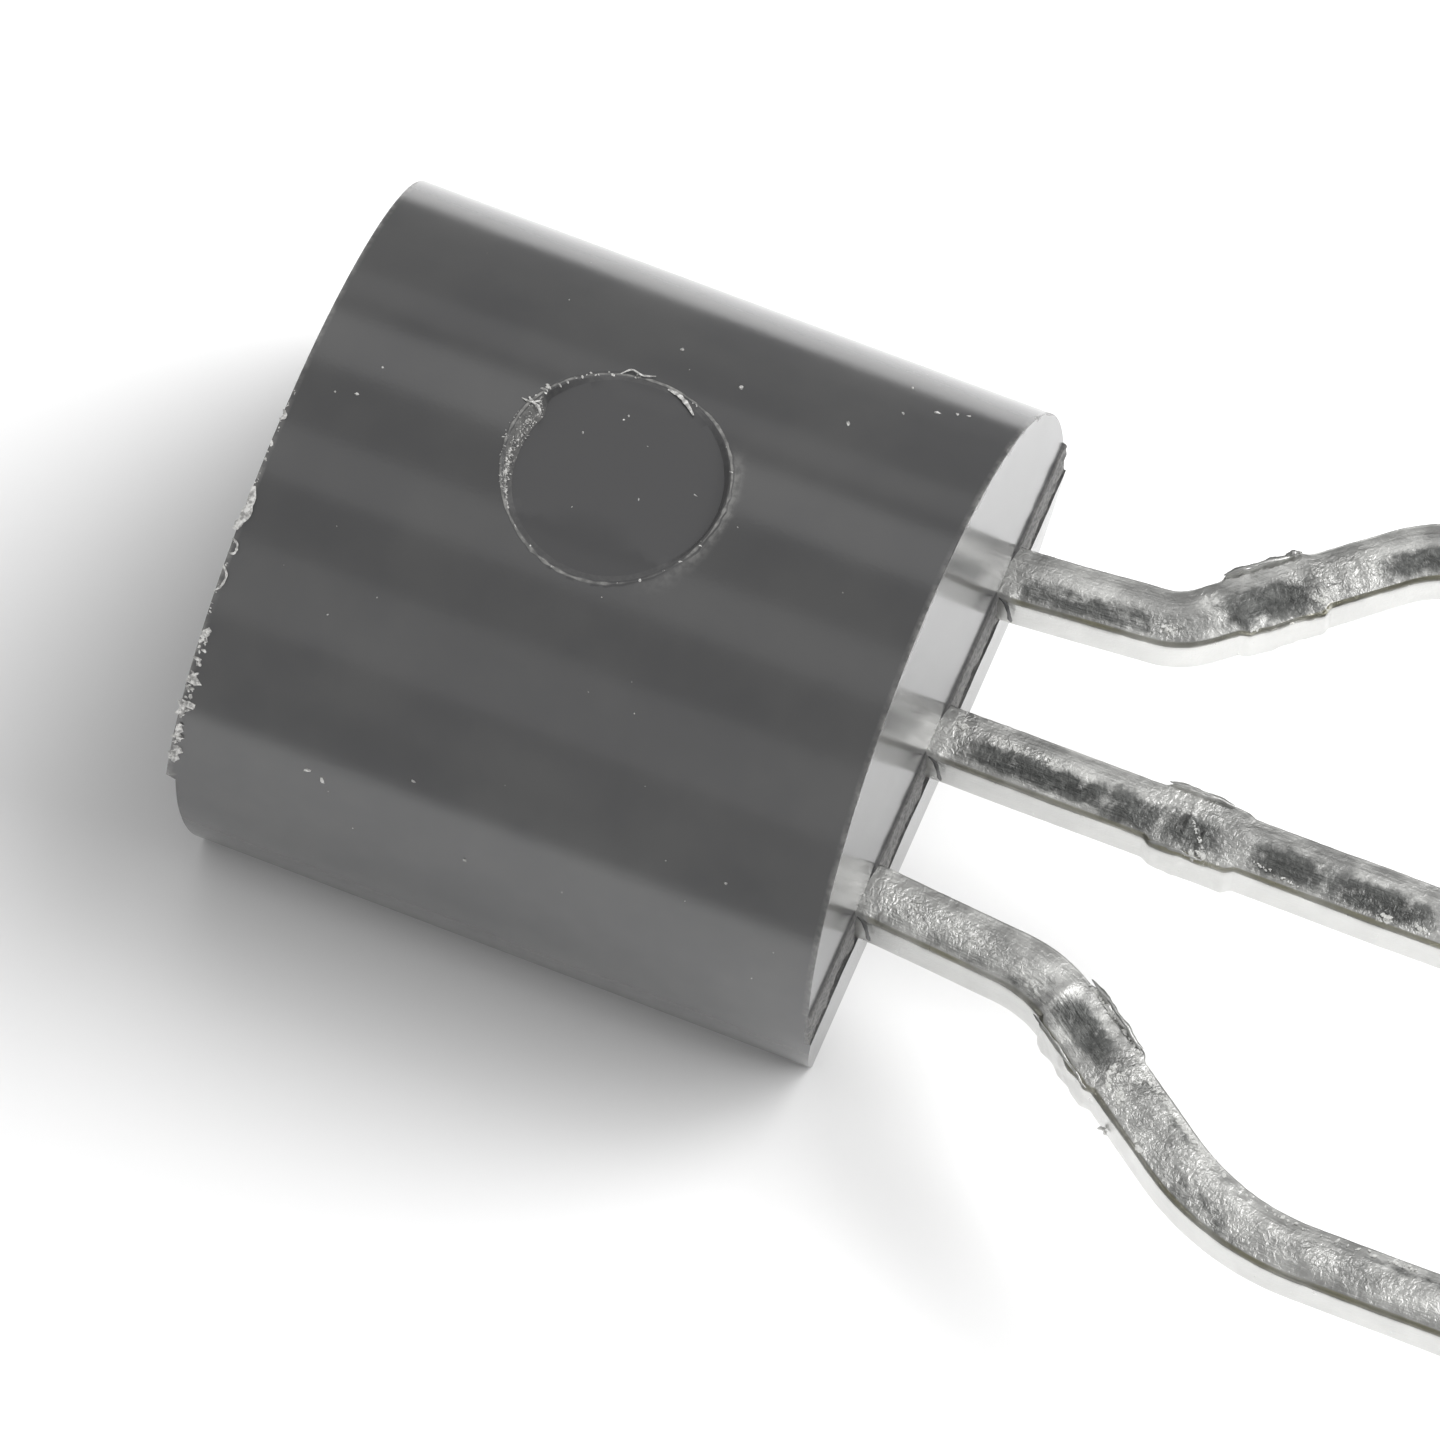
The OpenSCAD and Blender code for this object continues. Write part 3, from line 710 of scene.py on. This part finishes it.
def sectionRing():
    # The bevelled section as points [across, up], counter-clockwise from the middle of the under side, with
    # each corner rounded by cutting it twice. The upper edge on the punch side is rolled further
    s = leadShape
    w, t, b, c = s["width"] / 2, s["thick"] / 2, s["bevel"], s["sharpBevel"]
    corners = np.array([[w - b, -t], [w, b - t], [w, t - c], [w - c, t], [s["roll"] - w, t],
                        [-w, t - s["rollDown"]], [-w, b - t], [b - w, -t]])
    soft = np.array(s["soft"])[:, None]
    before, after = np.roll(corners, 1, axis=0), np.roll(corners, -1, axis=0)
    enter, leave = corners + soft * unit(before - corners), corners + soft * unit(after - corners)
    middle = (enter + leave + 2 * corners) / 4
    start = np.array([[0.0, -t]])
    goals = np.concatenate([enter[1:], start])
    points = [start, start + (enter[0] - start) * 0.5]
    for k, count in enumerate(s["sidePoints"]):
        share = (np.arange(count) + 1)[:, None] / (count + 1)
        points += [np.stack([enter[k], middle[k], leave[k]]), leave[k] + (goals[k] - leave[k]) * share]
    return np.concatenate(points + [start])


def makeLead(name, lead):
    # The section carried along the lead's middle line, widened by the stubs of the dam bar and dented
    s = leadShape
    at, line, turn = leadLine(lead)
    section = sectionRing()
    w, t = s["width"] / 2, s["thick"] / 2
    side = xyz(np.cos(turn), -np.sin(turn), 0)
    step = np.roll(section, -1, axis=0) - np.roll(section, 1, axis=0)
    step[[0, -1]] = section[1] - section[-2]
    normal = unit(np.column_stack([step[:, 1], -step[:, 0]]))
    around = np.concatenate([[0], np.cumsum(np.linalg.norm(np.diff(section, axis=0), axis=1))])
    along, around = np.meshgrid(at, around, indexing="ij")
    across = section[:, 0] + 0 * along

    def grain(cell, number):
        # A random field along and around the lead
        return wobble(along, around, 0, cell, lead["seed"] + number)

    outside = smooth(along / 0.1)
    topFace = section[:, 1] > t - s["rollDown"] - 0.001
    topSide = topFace * outside
    outward = np.sign(section[:, 0]) * smooth((abs(section[:, 0]) - w + s["bevel"] + 0.02) / s["bevel"])
    stub = between(along, s["barAt"] - s["barLength"] / 2, s["barAt"] + s["barLength"] / 2, s["barTaper"])
    widened = s["barStub"] * stub * (1 + 0.3 * grain(0.1, 0))
    # Side faces: painted reflection, a plain paler tin colour
    flank = ((abs(section[:, 0]) > w - 0.01) & (section[:, 1] < t - s["sharpBevel"] - 0.01)) * outside
    flank = flank * s["flankShare"]
    rippled = s["ripple"] * wobble(along / 2, around, 0, 0.22, lead["seed"] + 10)
    rippled = rippled + s["fineRipple"] * grain(0.06, 20)
    crown = topFace * s["crown"] * (across - s["crownAt"]) ** 2
    dents = (rippled * (1 - 0.6 * flank) - crown) * outside
    dents = dents + marksAt(lead["dents"], along, across, 2).sum(axis=0) * topSide
    dents = dents + s["stubGrain"] * stub * abs(outward) * grain(0.05, 40)
    offset = section + normal * dents[..., None]
    offset[..., 0] += outward * widened
    points = line[:, None] + side[:, None] * offset[..., :1] + up * offset[..., 1:]
    lowBevel = (section[:, 0] > w - s["sharpBevel"] - 0.004) & (section[:, 1] > t - s["sharpBevel"] - 0.004)
    fields = {kind: marksAt(lead[kind], along, across, 4).max(axis=0) * topSide
              for kind in ("dark", "crumple", "glint")}
    fields["tarnish"] = lowBevel * (0.6 + 0.4 * grain(0.3, 30)) * outside
    fields["flank"] = flank
    capped = {field: np.concatenate([values[:1], values, values[-1:]]) for field, values in fields.items()}
    uv = np.stack([along, around], axis=-1) * mm
    addPiece(name + "Lead", closeEnds(points), tinFinish, ("lead_" + name,),
             uv=np.concatenate([uv[:1], uv, uv[-1:]]), fields=capped, sharp=50)


# Lips of metal smeared up by the dam bar's shear: from and to along the lead, place across it, lift at its
# middle, half width and half thickness
lips = {
    "reference": [(1.52, 2.02, -0.238, 0.022, 0.02, 0.007), (1.95, 2.07, -0.24, 0.03, 0.018, 0.012)],
    "anode": [(1.5, 1.96, -0.24, 0.024, 0.018, 0.007), (1.52, 1.9, 0.222, 0.012, 0.01, 0.005)],
    "cathode": [(1.46, 2.04, -0.234, 0.026, 0.018, 0.007), (1.43, 2.08, 0.232, 0.016, 0.011, 0.006)],
}
# Resin that hangs beside each lead where it leaves the body: points [further out, beyond the body, height]
hooks = {
    "out": 0.228, "width": 0.013, "thick": 0.01,
    "points": [(-0.03, -0.05, 1.31), (-0.01, 0.01, 1.29), (0.015, 0.045, 1.24), (0.022, 0.06, 1.17),
               (0.02, 0.075, 1.12)],
}


def leadPoint(lead, along, across, lift):
    # A place on or over a lead's top face: across is square to its heading there
    at, line, turn = leadLine(lead)
    x, y, heading = (np.interp(along, at, values) for values in (line[:, 0], line[:, 1], turn))
    top = leadShape["height"] + leadShape["thick"] / 2
    side = xyz(np.cos(heading), -np.sin(heading), 0)
    return xyz(x, y, top + lift) + side * np.asarray(across)[..., None]


def makeLips():
    # Each lip follows an edge of its lead and rises by half a sine wave from end to end
    for leadName, rows in lips.items():
        for number, (start, end, across, lift, width, thick) in enumerate(rows):
            share = np.linspace(0, 1, 60)
            along = start + (end - start) * share
            rough = 0.006 * wobble(along, number, 0, 0.06, 80 + number)
            path = leadPoint(leads[leadName], along, across + rough, lift * np.sin(np.pi * share) - 0.008)
            tilt = np.broadcast_to(unit(np.array([np.sign(across) * 0.3, 0, 1.0])), path.shape)
            ribbon(leadName + "Lip" + str(number), path, tilt, width, thick, tinFinish,
                   ragged=0.5, seed=90 + number)


# Crumbs of scraped tin, painted white as glints: from and to along the lead, place across at each end,
# spread, count, largest size
burrs = {
    "reference": [(1.0, 1.12, 0.08, 0.09, 0.03, 14, 0.008), (1.3, 1.44, -0.12, -0.1, 0.04, 16, 0.009),
                  (1.9, 2.12, -0.24, -0.235, 0.012, 26, 0.013), (2.02, 2.1, 0.1, 0.16, 0.03, 22, 0.01),
                  (1.54, 1.6, 0.2, 0.21, 0.008, 6, 0.012), (2.42, 2.52, -0.05, 0.08, 0.05, 16, 0.007),
                  (4.2, 5.6, -0.16, -0.14, 0.02, 22, 0.009)],
    "anode": [(0.05, 0.12, -0.09, -0.08, 0.025, 18, 0.01), (0.32, 0.4, -0.08, -0.075, 0.02, 14, 0.008),
              (0.46, 0.56, -0.07, -0.06, 0.025, 18, 0.009), (0.69, 0.77, -0.055, -0.05, 0.025, 20, 0.01),
              (1.7, 1.9, -0.08, 0.18, 0.02, 30, 0.007), (1.84, 1.92, 0.18, 0.21, 0.012, 14, 0.01),
              (2.2, 2.6, 0.1, 0.16, 0.02, 18, 0.006), (3.13, 3.2, 0.13, 0.15, 0.02, 16, 0.01),
              (3.37, 3.45, 0.13, 0.14, 0.02, 14, 0.009), (4.4, 5.8, -0.15, -0.1, 0.03, 20, 0.008)],
    "cathode": [(0.1, 0.95, -0.04, 0.03, 0.06, 46, 0.006), (1.46, 2.04, -0.2, -0.215, 0.014, 60, 0.01),
                (2.04, 2.16, -0.02, 0.1, 0.03, 34, 0.01), (2.2, 2.3, 0.05, 0.1, 0.03, 24, 0.009),
                (2.56, 2.66, 0.16, 0.18, 0.01, 10, 0.012), (2.18, 3.12, -0.15, -0.18, 0.025, 80, 0.01),
                (3.2, 4.6, -0.17, -0.17, 0.02, 34, 0.008), (2.3, 2.36, 0.235, 0.235, 0.006, 5, 0.012)],
}


def makeBurrs():
    # Crumbs scattered along straight stretches of a lead's top face, sunk where its rolled edges drop
    for leadName, rows in burrs.items():
        lead = leads[leadName]
        rng = np.random.default_rng(lead["seed"] + 100)
        places, sizes = [], []
        for start, end, near, far, spread, count, size in rows:
            share = rng.uniform(0, 1, count)
            across = near + (far - near) * share + spread * rng.uniform(-1, 1, (count, 2)).mean(axis=1)
            drop = leadShape["rollDown"] * smooth((-across - 0.05) / 0.16)
            drop = drop + 0.25 * smooth((abs(across) - 0.21) / 0.02)
            places.append(leadPoint(lead, start + (end - start) * share, across, -0.9 * drop))
            sizes.append(0.004 + (1.5 * size - 0.004) * rng.uniform(0, 1, count) ** 1.5)
        places = np.concatenate(places)
        makeGrains(leadName + "Burrs", places, up + 0 * places, np.concatenate(sizes), lead["seed"] + 200,
                   crumbGlintFinish)


def makeHooks():
    # Each hook is a smooth curve from inside the body out and down beside its lead
    h = hooks
    for leadName, lead in leads.items():
        start = [lead["side"] * leadShape["pitch"] + h["out"], bodyShape["length"] / 2, 0]
        path = curve(np.array(h["points"]) + start, 24)
        normals = np.broadcast_to([1.0, 0.4, 0.2], path.shape)
        ribbon(leadName + "ExitFlash", path, normals, h["width"], h["thick"], epoxyFinish,
               ragged=0.4, seed=95)


for leadName, lead in leads.items():
    makeLead(leadName, lead)
makeLips()
makeBurrs()
makeHooks()


# The stamped frame inside the body: place across, then plates [from and to along the body, width, hole], and
# the hole is [place along the body, diameter] or nothing
frameShape = {"corner": 16.0, "bevel": 0.02, "columns": 96}
innerFrame = {
    "anodePaddle": (0, (-1.275, 0.925, 1.5, (-1.05, 0.5)), (0.85, 1.98, 0.42, None),
                    (1.525, 1.775, 0.66, None)),
    "referencePost": (-1.27, (0.325, 1.125, 0.64, None), (1.05, 1.98, 0.42, None),
                      (1.525, 1.775, 0.66, None)),
    "cathodePost": (1.27, (0.325, 1.125, 0.64, None), (1.05, 1.98, 0.42, None),
                    (1.525, 1.775, 0.66, None)),
}


def stampedPlate(across, near, far, width, hole):
    # Rings from the hole, or the middle, out over the top to a rounded outline and back underneath. The
    # outline is one over the root of the summed powers of the direction's parts over the half sizes away
    f = frameShape
    middle = np.array([across, hole[0] if hole else (near + far) / 2])
    turn = np.linspace(0, 2 * np.pi, f["columns"] + 1)
    heading = np.column_stack([np.cos(turn), np.sin(turn)])
    halfLength = np.where(heading[:, 1] > 0, far - middle[1], middle[1] - near)
    half = np.column_stack([np.full_like(turn, width / 2), halfLength])
    reach = (abs(heading / half) ** f["corner"]).sum(axis=1) ** (-1 / f["corner"])
    outline = heading * reach[:, None]
    opening = heading * (hole[1] / 2 if hole else 0.0)
    low, high = (leadShape["height"] + k * leadShape["thick"] / 2 for k in (-1, 1))
    rings = [(opening, high), (outline * 0.97, high), (outline, high - f["bevel"]),
             (outline, low + f["bevel"]), (outline * 0.97, low), (opening, low), (opening, high)]
    return np.array([xyz(*(middle + flat).T, height) for flat, height in rings])


def makeInnerFrame():
    # The plates of each post or paddle overlap in one mesh
    for name, (across, *plates) in innerFrame.items():
        points = np.array([stampedPlate(across, *plate) for plate in plates])
        addPiece(name, points, stampedFinish)


makeInnerFrame()


# Finishes of the pieces inside
for nodeName, finish in (("die", siliconFinish), ("die_attach", attachFinish),
                         ("bond_wire_reference", goldFinish), ("bond_wire_anode", goldFinish),
                         ("bond_wire_cathode", goldFinish)):
    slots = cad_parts[nodeName].data.materials
    slots.clear()
    slots.append(finish)
print("inner pieces finished")


# Floor, light and camera
studio = {
    "floorRadius": 900.0,
    "floorColour": "#e7e7e7",
    # The part of the table that reflections show lit, by its half axes, and the painted dark that
    # reflections alone show past that
    "pool": (9.0, 24.0), "poolMiddle": (-0.5, 6.0), "poolFade": 0.12, "beyondPool": "#383838",
    "roomGlow": 0.22,  # the room in reflections
    "roomFill": 0.42,  # the room as it lights matte surfaces
    # Strip lights on an arc across the object: degrees from overhead toward +X, degrees wide, and radiance
    "arc": 120.0, "stripLength": 150.0,
    "strips": {"lowStrip": (-55.0, 12.0, 0.4), "mainStrip": (-32.0, 20.0, 0.9),
               "topStrip": (11.0, 18.0, 0.6), "sideStrip": (55.0, 26.0, 0.45)},
    # Lamps, by direction, distance, size and radiance: the sparkle on the tin, the panel that its flats
    # mirror, and the light that makes the table white with a soft shadow
    "lamps": {
        "sparkleLamp": ((-0.5, 0.62, 0.6), 90.0, (22.0, 22.0), 3.0),
        "farPanel": ((-0.429, 0.407, 0.807), 120.0, (56.0, 68.0), 2.8),
        "tableLamp": ((-0.545, 0.66, 0.45), 90.0, (150.0, 56.0), 10.4),
    },
    # A link keeps a lamp off an object, or holds it to one
    "links": {"farPanel": ("packageBody", "EXCLUDE"), "tableLamp": ("tableTop", "INCLUDE")},
}
view = {
    "target": (0.409, 0.841, 1.14),
    "azimuth": 18.44, "elevation": 63.73, "roll": 3.92, "distance": 104.04,
    "lens": 393.6, "sensor": 36.0,
}


def makeFloor():
    # A round sheet of matte white paper under the flat face. Reflections alone see it painted dark beyond a
    # painted pool of light: the distance from the pool's middle over its half axes is 1 on the pool's edge
    material, tree, place = newMaterial("whitePaper", Roughness=0.9)
    axes = [1 / (half * mm) for half in studio["pool"]]
    offset = [-middle / half for middle, half in zip(studio["poolMiddle"], studio["pool"])]
    scaled = addNode(tree, "Mapping", {"Vector": place, "Scale": (*axes, 1.0), "Location": (*offset, 0.0)})
    far = addNode(tree, "VectorMath", {0: scaled}, "Value", operation="LENGTH")
    fade = studio["poolFade"]
    beyond = addNode(tree, "MapRange", {"Value": far, "From Min": 1 - fade, "From Max": 1 + fade}, **eased)
    glossy = addNode(tree, "LightPath", output="Is Glossy Ray")
    mirrored = addNode(tree, "Math", {0: beyond, 1: glossy}, operation="MULTIPLY")
    finished(material, linear(studio["floorColour"]), [(mirrored, linear(studio["beyondPool"]))])
    corners, radius = 128, studio["floorRadius"]
    turn = np.linspace(0, 2 * np.pi, corners + 1)[:-1]
    rim = xyz(radius * np.cos(turn), radius * np.sin(turn), 0)
    mesh = bpy.data.meshes.new("tableTop")
    mesh.from_pydata((rim * mm).tolist(), [], [list(range(corners))])
    mesh.materials.append(material)
    addObject("tableTop", mesh)


def makeWorld():
    # The room: white past the table, dim in reflections, and a soft fill for matte surfaces
    world = bpy.data.worlds.new("softRoom")
    bpy.context.scene.world = world
    world.use_nodes = True
    tree = world.node_tree
    glossy = addNode(tree, "LightPath", output="Is Glossy Ray")
    direct = addNode(tree, "LightPath", output="Is Camera Ray")
    room = addNode(tree, "MapRange", {"Value": glossy, "To Min": studio["roomFill"],
                                      "To Max": studio["roomGlow"]})
    seen = addNode(tree, "MapRange", {"Value": direct, "To Min": room, "To Max": 1.0})
    tree.links.new(seen, tree.nodes["Background"].inputs["Strength"])
    tree.nodes["Background"].inputs["Color"].default_value = (1, 1, 1, 1)


def addLamp(name, direction, distance, size, radiance):
    # An area lamp that faces the object; a lamp's power is its radiance times pi times its area
    light = bpy.data.lights.new(name, "AREA")
    light.shape = "RECTANGLE"
    light.size, light.size_y = (side * mm for side in size)
    light.energy = radiance * np.pi * light.size * light.size_y
    lamp = addObject(name, light)
    away = Vector(direction).normalized()
    lamp.location = away * distance * mm
    lamp.rotation_euler = away.to_track_quat("Z", "Y").to_euler()
    lamp.visible_camera = False


def makeLamps():
    # A strip's width is twice the arc's radius times the tangent of half its angular width
    for name, (angle, width, radiance) in studio["strips"].items():
        angle, width = np.radians([angle, width])
        size = (studio["stripLength"], 2 * studio["arc"] * np.tan(width / 2))
        addLamp(name, (np.sin(angle), 0.0, np.cos(angle)), studio["arc"], size, radiance)
    for name, lamp in studio["lamps"].items():
        addLamp(name, *lamp)
    for name, (receiver, state) in studio["links"].items():
        receivers = bpy.data.collections.new(name + "Receivers")
        receivers.objects.link(bpy.data.objects[receiver])
        receivers.collection_objects[0].light_linking.link_state = state
        bpy.data.objects[name].light_linking.receiver_collection = receivers


def makeCamera():
    # The camera looks at a target from an azimuth and elevation, rolled about its view line
    azimuth, elevation, roll = (np.radians(view[k]) for k in ("azimuth", "elevation", "roll"))
    level = np.cos(elevation)
    back = np.array([level * np.cos(azimuth), level * np.sin(azimuth), np.sin(elevation)])
    upright = unit(up - back[2] * back)
    top = np.cos(roll) * upright - np.sin(roll) * np.cross(upright, back)
    place = Matrix(np.column_stack([np.cross(top, back), top, back]).tolist()).to_4x4()
    place.translation = Vector((np.array(view["target"]) + back * view["distance"]) * mm)
    data = bpy.data.cameras.new("camera")
    data.lens, data.sensor_width = view["lens"], view["sensor"]
    data.clip_start, data.clip_end = 0.001, 10.0
    bpy.context.scene.camera = addObject("camera", data)
    bpy.context.scene.camera.matrix_world = place


makeFloor()
makeWorld()
makeLamps()
makeCamera()
bpy.context.scene.view_settings.view_transform = "Standard"
print("studio made")
